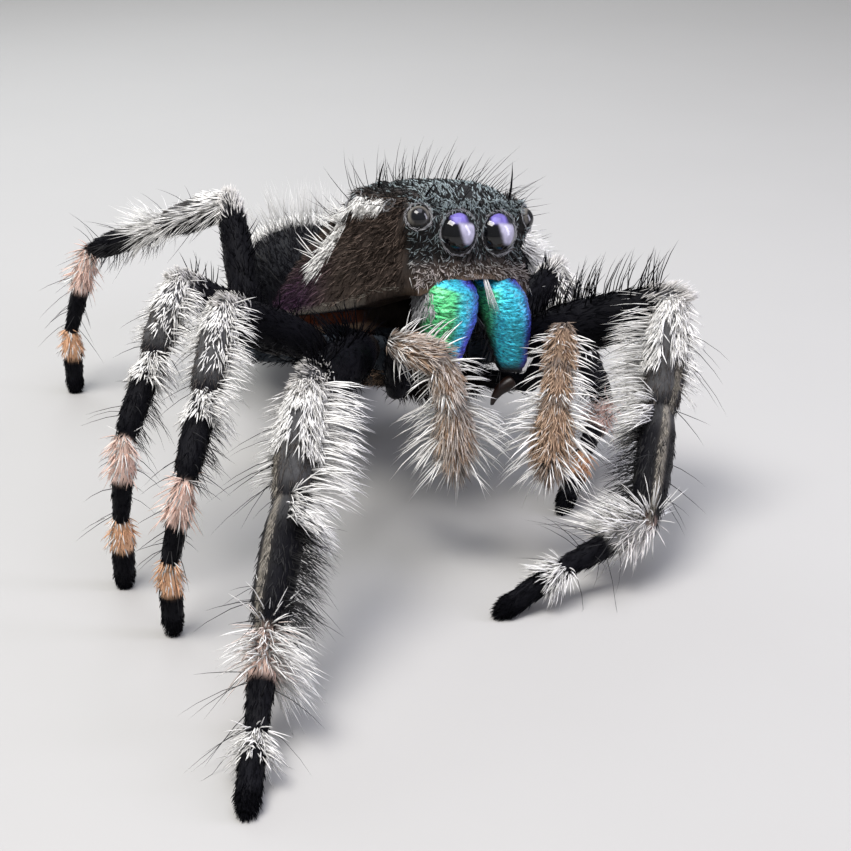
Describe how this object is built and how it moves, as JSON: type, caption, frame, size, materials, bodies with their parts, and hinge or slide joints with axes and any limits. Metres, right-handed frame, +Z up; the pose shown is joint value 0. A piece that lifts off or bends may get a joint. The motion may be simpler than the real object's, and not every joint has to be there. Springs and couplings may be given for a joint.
{
  "type": "regal jumping spider",
  "caption": "Still life-size jumping spider standing with its front raised: broad hairy carapace, large front eyes, metallic chelicerae, bushy palps and banded legs.",
  "frame": {"origin": "middle of the bounding box, on the floor under the spider", "axes": "the spider faces -Y, its left side is +X, +Z is up from the floor that its feet stand on"},
  "size_m": [0.0164, 0.0168, 0.0066],
  "materials": {
    "dark_shell": "matt, finely haired",
    "black_hair": "matt black hair over shell",
    "white_hair": "silky white hair",
    "tan_hair": "light brown hair",
    "eye": "polished black",
    "green_blue_shell": "metallic green, turning blue and violet",
    "fang": "glossy dark brown"
  },
  "bodies": {
    "root": {"carapace": "dark_shell", "underbody": "dark_shell", "waist": "dark_shell", "abdomen": "black_hair", "spinnerets": "black_hair", "chelicera_left": "green_blue_shell", "chelicera_right": "green_blue_shell", "fang_left": "fang", "fang_right": "fang", "eye_front_middle_left": "eye", "eye_front_middle_right": "eye", "eye_front_side_left": "eye", "eye_front_side_right": "eye", "eye_small_left": "eye", "eye_small_right": "eye", "eye_rear_left": "eye", "eye_rear_right": "eye", "palp_left_femur": "dark_shell", "palp_left_shin": "tan_hair", "palp_left_tarsus": "tan_hair", "palp_right_femur": "dark_shell", "palp_right_shin": "tan_hair", "palp_right_tarsus": "tan_hair", "leg_1_left_coxa": "dark_shell", "leg_1_left_femur": "black_hair", "leg_1_left_shin": "black_hair", "leg_1_left_foot": "black_hair", "leg_1_right_coxa": "dark_shell", "leg_1_right_femur": "black_hair", "leg_1_right_shin": "black_hair", "leg_1_right_foot": "black_hair", "leg_2_left_coxa": "dark_shell", "leg_2_left_femur": "black_hair", "leg_2_left_shin": "black_hair", "leg_2_left_foot": "black_hair", "leg_2_right_coxa": "dark_shell", "leg_2_right_femur": "black_hair", "leg_2_right_shin": "black_hair", "leg_2_right_foot": "black_hair", "leg_3_left_coxa": "dark_shell", "leg_3_left_femur": "black_hair", "leg_3_left_shin": "black_hair", "leg_3_left_foot": "black_hair", "leg_3_right_coxa": "dark_shell", "leg_3_right_femur": "black_hair", "leg_3_right_shin": "black_hair", "leg_3_right_foot": "black_hair", "leg_4_left_coxa": "dark_shell", "leg_4_left_femur": "black_hair", "leg_4_left_shin": "black_hair", "leg_4_left_foot": "black_hair", "leg_4_right_coxa": "dark_shell", "leg_4_right_femur": "black_hair", "leg_4_right_shin": "black_hair", "leg_4_right_foot": "black_hair"}
  },
  "joints": []
}
